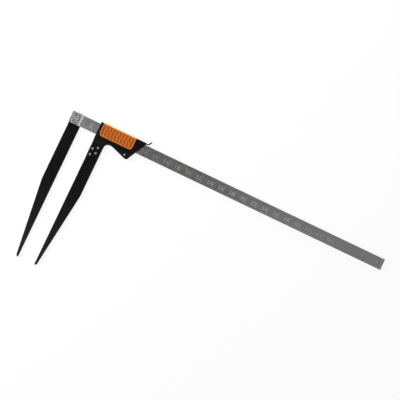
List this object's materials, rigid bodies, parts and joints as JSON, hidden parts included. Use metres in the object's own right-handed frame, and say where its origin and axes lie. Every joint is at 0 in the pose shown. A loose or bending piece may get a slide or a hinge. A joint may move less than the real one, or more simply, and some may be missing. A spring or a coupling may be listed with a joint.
{
  "type": "tree caliper",
  "caption": "Flat steel rule with a fixed jaw at its zero end and a sliding jaw with a ribbed thumb grip, for reading the diameter of a tree trunk or log.",
  "frame": {"origin": "on the fixed jaw's measuring face, at the rule's centre line, in the middle of the jaw's thickness", "axes": "+X along the rule towards higher readings, +Y away from the jaw tips, +Z out of the scale face"},
  "size_m": [0.57, 0.2667, 0.0126],
  "materials": {
    "rule_steel": "matt, brushed along the rule, with engraved numbers",
    "plate_steel": "bare, fine brushed",
    "fastener_steel": "bare, tumbled",
    "jaw_paint": "black powder coat, semi-matt",
    "cover_plastic": "moulded, fine spark texture",
    "grip_plastic": "moulded, orange, satin ribs with dull grooves",
    "glide_plastic": "glides and leaf spring, moulded, waxy"
  },
  "bodies": {
    "rule": {"beam": "rule_steel", "fixed_jaw": "jaw_paint", "end_plate": "plate_steel", "plate_rivet_1": "fastener_steel", "plate_rivet_2": "fastener_steel", "plate_rivet_3": "fastener_steel", "plate_dowel_1": "fastener_steel", "plate_dowel_2": "fastener_steel", "stop_pin": "fastener_steel"},
    "slide": {"moving_jaw": "jaw_paint", "slide_cover": "cover_plastic", "slide_grip": "grip_plastic", "leaf_spring": "glide_plastic", "spring_rivet": "fastener_steel", "glide_left": "glide_plastic", "glide_right": "glide_plastic", "jaw_rivet_1": "fastener_steel", "jaw_rivet_2": "fastener_steel", "jaw_rivet_3": "fastener_steel", "jaw_rivet_4": "fastener_steel", "hook_rivet": "fastener_steel"}
  },
  "joints": [
    {"name": "jaw_slide", "type": "slide", "parent": "rule", "child": "slide", "axis": [1, 0, 0], "range_m": [-0.03, 0.4325]}
  ]
}
